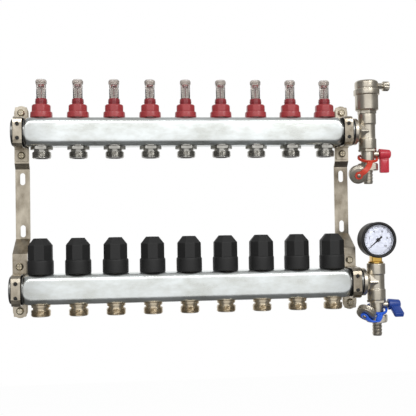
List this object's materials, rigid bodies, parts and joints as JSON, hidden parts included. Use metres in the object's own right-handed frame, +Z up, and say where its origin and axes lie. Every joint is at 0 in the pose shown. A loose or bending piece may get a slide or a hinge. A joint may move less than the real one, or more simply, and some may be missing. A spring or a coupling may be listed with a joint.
{
  "type": "underfloor heating manifold",
  "caption": "Wall-hung underfloor heating manifold: supply bar with flow meters, return bar with hand caps, bent brackets, end tees with air vent, pressure gauge and drain valves.",
  "frame": {"origin": "middle of the left bracket's wall face, half way between the bars", "axes": "+X along the bars towards the tees, +Z up, +Y into the wall, so the front faces -Y"},
  "size_m": [0.5363, 0.0867, 0.3635],
  "materials": {
    "stainless": "brushed along the bar",
    "zinc": "dull warm plating",
    "nickel": "satin warm nickel plate",
    "brass": "bright",
    "red_plastic": "semi-gloss moulded",
    "clear_plastic": "clear moulded",
    "float_plastic": "semi-gloss moulded",
    "black_plastic": "fine moulded texture",
    "red_lever": "semi-gloss moulded",
    "orange_strap": "soft moulded",
    "blue_lever": "semi-gloss moulded",
    "blue_strap": "soft moulded",
    "gauge_black": "satin black",
    "dial_white": "matt printed",
    "pointer_black": "matt"
  },
  "bodies": {
    "manifold": {"supply_bar": "stainless", "return_bar": "stainless", "bracket_left": "zinc", "supply_clamp_left": "zinc", "return_clamp_left": "zinc", "bracket_right": "zinc", "supply_clamp_right": "zinc", "return_clamp_right": "zinc", "supply_tee": "nickel", "return_tee": "nickel", "vent_body": "nickel", "supply_drain_valve": "nickel", "return_drain_valve": "nickel", "gauge_case": "gauge_black", "gauge_socket": "brass", "gauge_dial": "dial_white"},
    "meter_head_1": {"meter_collar_1": "red_plastic", "meter_tube_1": "clear_plastic"},
    "meter_rod_1": {"meter_float_1": "float_plastic"},
    "return_cap_1": {"hand_cap_1": "black_plastic"},
    "meter_head_2": {"meter_collar_2": "red_plastic", "meter_tube_2": "clear_plastic"},
    "meter_rod_2": {"meter_float_2": "float_plastic"},
    "return_cap_2": {"hand_cap_2": "black_plastic"},
    "meter_head_3": {"meter_collar_3": "red_plastic", "meter_tube_3": "clear_plastic"},
    "meter_rod_3": {"meter_float_3": "float_plastic"},
    "return_cap_3": {"hand_cap_3": "black_plastic"},
    "meter_head_4": {"meter_collar_4": "red_plastic", "meter_tube_4": "clear_plastic"},
    "meter_rod_4": {"meter_float_4": "float_plastic"},
    "return_cap_4": {"hand_cap_4": "black_plastic"},
    "meter_head_5": {"meter_collar_5": "red_plastic", "meter_tube_5": "clear_plastic"},
    "meter_rod_5": {"meter_float_5": "float_plastic"},
    "return_cap_5": {"hand_cap_5": "black_plastic"},
    "meter_head_6": {"meter_collar_6": "red_plastic", "meter_tube_6": "clear_plastic"},
    "meter_rod_6": {"meter_float_6": "float_plastic"},
    "return_cap_6": {"hand_cap_6": "black_plastic"},
    "meter_head_7": {"meter_collar_7": "red_plastic", "meter_tube_7": "clear_plastic"},
    "meter_rod_7": {"meter_float_7": "float_plastic"},
    "return_cap_7": {"hand_cap_7": "black_plastic"},
    "meter_head_8": {"meter_collar_8": "red_plastic", "meter_tube_8": "clear_plastic"},
    "meter_rod_8": {"meter_float_8": "float_plastic"},
    "return_cap_8": {"hand_cap_8": "black_plastic"},
    "meter_head_9": {"meter_collar_9": "red_plastic", "meter_tube_9": "clear_plastic"},
    "meter_rod_9": {"meter_float_9": "float_plastic"},
    "return_cap_9": {"hand_cap_9": "black_plastic"},
    "vent_knob": {"vent_screw": "nickel"},
    "supply_lever": {"supply_drain_lever": "red_lever"},
    "supply_tether": {"supply_cap_strap": "orange_strap", "supply_drain_cap": "nickel"},
    "return_lever": {"return_drain_lever": "blue_lever"},
    "return_tether": {"return_cap_strap": "blue_strap", "return_drain_cap": "nickel"},
    "pointer": {"gauge_pointer": "pointer_black"}
  },
  "joints": [
    {"name": "meter_turn_1", "type": "hinge", "parent": "manifold", "child": "meter_head_1", "pos_m": [0.03, -0.0278, 0.127], "axis": [0, 0, 1], "range_deg": [0, 720]},
    {"name": "float_slide_1", "type": "slide", "parent": "meter_head_1", "child": "meter_rod_1", "axis": [0, 0, 1], "range_m": [-0.015, 0], "stiffness_N_per_m": 20, "springref_m": 0.002},
    {"name": "hand_cap_turn_1", "type": "hinge", "parent": "manifold", "child": "return_cap_1", "pos_m": [0.03, -0.0538, -0.087], "axis": [0, 0, 1], "range_deg": [0, 720]},
    {"name": "meter_turn_2", "type": "hinge", "parent": "manifold", "child": "meter_head_2", "pos_m": [0.08, -0.0278, 0.127], "axis": [0, 0, 1], "range_deg": [0, 720]},
    {"name": "float_slide_2", "type": "slide", "parent": "meter_head_2", "child": "meter_rod_2", "axis": [0, 0, 1], "range_m": [-0.015, 0], "stiffness_N_per_m": 20, "springref_m": 0.002},
    {"name": "hand_cap_turn_2", "type": "hinge", "parent": "manifold", "child": "return_cap_2", "pos_m": [0.08, -0.0538, -0.087], "axis": [0, 0, 1], "range_deg": [0, 720]},
    {"name": "meter_turn_3", "type": "hinge", "parent": "manifold", "child": "meter_head_3", "pos_m": [0.13, -0.0278, 0.127], "axis": [0, 0, 1], "range_deg": [0, 720]},
    {"name": "float_slide_3", "type": "slide", "parent": "meter_head_3", "child": "meter_rod_3", "axis": [0, 0, 1], "range_m": [-0.015, 0], "stiffness_N_per_m": 20, "springref_m": 0.002},
    {"name": "hand_cap_turn_3", "type": "hinge", "parent": "manifold", "child": "return_cap_3", "pos_m": [0.13, -0.0538, -0.087], "axis": [0, 0, 1], "range_deg": [0, 720]},
    {"name": "meter_turn_4", "type": "hinge", "parent": "manifold", "child": "meter_head_4", "pos_m": [0.18, -0.0278, 0.127], "axis": [0, 0, 1], "range_deg": [0, 720]},
    {"name": "float_slide_4", "type": "slide", "parent": "meter_head_4", "child": "meter_rod_4", "axis": [0, 0, 1], "range_m": [-0.015, 0], "stiffness_N_per_m": 20, "springref_m": 0.002},
    {"name": "hand_cap_turn_4", "type": "hinge", "parent": "manifold", "child": "return_cap_4", "pos_m": [0.18, -0.0538, -0.087], "axis": [0, 0, 1], "range_deg": [0, 720]},
    {"name": "meter_turn_5", "type": "hinge", "parent": "manifold", "child": "meter_head_5", "pos_m": [0.23, -0.0278, 0.127], "axis": [0, 0, 1], "range_deg": [0, 720]},
    {"name": "float_slide_5", "type": "slide", "parent": "meter_head_5", "child": "meter_rod_5", "axis": [0, 0, 1], "range_m": [-0.015, 0], "stiffness_N_per_m": 20, "springref_m": 0.002},
    {"name": "hand_cap_turn_5", "type": "hinge", "parent": "manifold", "child": "return_cap_5", "pos_m": [0.23, -0.0538, -0.087], "axis": [0, 0, 1], "range_deg": [0, 720]},
    {"name": "meter_turn_6", "type": "hinge", "parent": "manifold", "child": "meter_head_6", "pos_m": [0.28, -0.0278, 0.127], "axis": [0, 0, 1], "range_deg": [0, 720]},
    {"name": "float_slide_6", "type": "slide", "parent": "meter_head_6", "child": "meter_rod_6", "axis": [0, 0, 1], "range_m": [-0.015, 0], "stiffness_N_per_m": 20, "springref_m": 0.002},
    {"name": "hand_cap_turn_6", "type": "hinge", "parent": "manifold", "child": "return_cap_6", "pos_m": [0.28, -0.0538, -0.087], "axis": [0, 0, 1], "range_deg": [0, 720]},
    {"name": "meter_turn_7", "type": "hinge", "parent": "manifold", "child": "meter_head_7", "pos_m": [0.33, -0.0278, 0.127], "axis": [0, 0, 1], "range_deg": [0, 720]},
    {"name": "float_slide_7", "type": "slide", "parent": "meter_head_7", "child": "meter_rod_7", "axis": [0, 0, 1], "range_m": [-0.015, 0], "stiffness_N_per_m": 20, "springref_m": 0.002},
    {"name": "hand_cap_turn_7", "type": "hinge", "parent": "manifold", "child": "return_cap_7", "pos_m": [0.33, -0.0538, -0.087], "axis": [0, 0, 1], "range_deg": [0, 720]},
    {"name": "meter_turn_8", "type": "hinge", "parent": "manifold", "child": "meter_head_8", "pos_m": [0.38, -0.0278, 0.127], "axis": [0, 0, 1], "range_deg": [0, 720]},
    {"name": "float_slide_8", "type": "slide", "parent": "meter_head_8", "child": "meter_rod_8", "axis": [0, 0, 1], "range_m": [-0.015, 0], "stiffness_N_per_m": 20, "springref_m": 0.002},
    {"name": "hand_cap_turn_8", "type": "hinge", "parent": "manifold", "child": "return_cap_8", "pos_m": [0.38, -0.0538, -0.087], "axis": [0, 0, 1], "range_deg": [0, 720]},
    {"name": "meter_turn_9", "type": "hinge", "parent": "manifold", "child": "meter_head_9", "pos_m": [0.43, -0.0278, 0.127], "axis": [0, 0, 1], "range_deg": [0, 720]},
    {"name": "float_slide_9", "type": "slide", "parent": "meter_head_9", "child": "meter_rod_9", "axis": [0, 0, 1], "range_m": [-0.015, 0], "stiffness_N_per_m": 20, "springref_m": 0.002},
    {"name": "hand_cap_turn_9", "type": "hinge", "parent": "manifold", "child": "return_cap_9", "pos_m": [0.43, -0.0538, -0.087], "axis": [0, 0, 1], "range_deg": [0, 720]},
    {"name": "vent_screw_turn", "type": "hinge", "parent": "manifold", "child": "vent_knob", "pos_m": [0.521, -0.0278, 0.17325], "axis": [1, 0, 0], "range_deg": [0, 360]},
    {"name": "supply_lever_turn", "type": "hinge", "parent": "manifold", "child": "supply_lever", "pos_m": [0.517, -0.0278, 0.0745], "axis": [1, 0, 0], "range_deg": [-90, 0]},
    {"name": "supply_tether_turn", "type": "hinge", "parent": "manifold", "child": "supply_tether", "pos_m": [0.493, -0.0278, 0.0685], "axis": [0, 0, 1], "range_deg": [0, 30]},
    {"name": "return_lever_turn", "type": "hinge", "parent": "manifold", "child": "return_lever", "pos_m": [0.517, -0.0538, -0.1395], "axis": [1, 0, 0], "range_deg": [-28, 62]},
    {"name": "return_tether_turn", "type": "hinge", "parent": "manifold", "child": "return_tether", "pos_m": [0.493, -0.0538, -0.1455], "axis": [0, 0, 1], "range_deg": [0, 30]},
    {"name": "pointer_turn", "type": "hinge", "parent": "manifold", "child": "pointer", "pos_m": [0.493, -0.0658, -0.0485], "axis": [0, 1, 0], "range_deg": [0, 264], "stiffness_Nm_per_rad": 0.002, "springref_deg": -2.86}
  ]
}
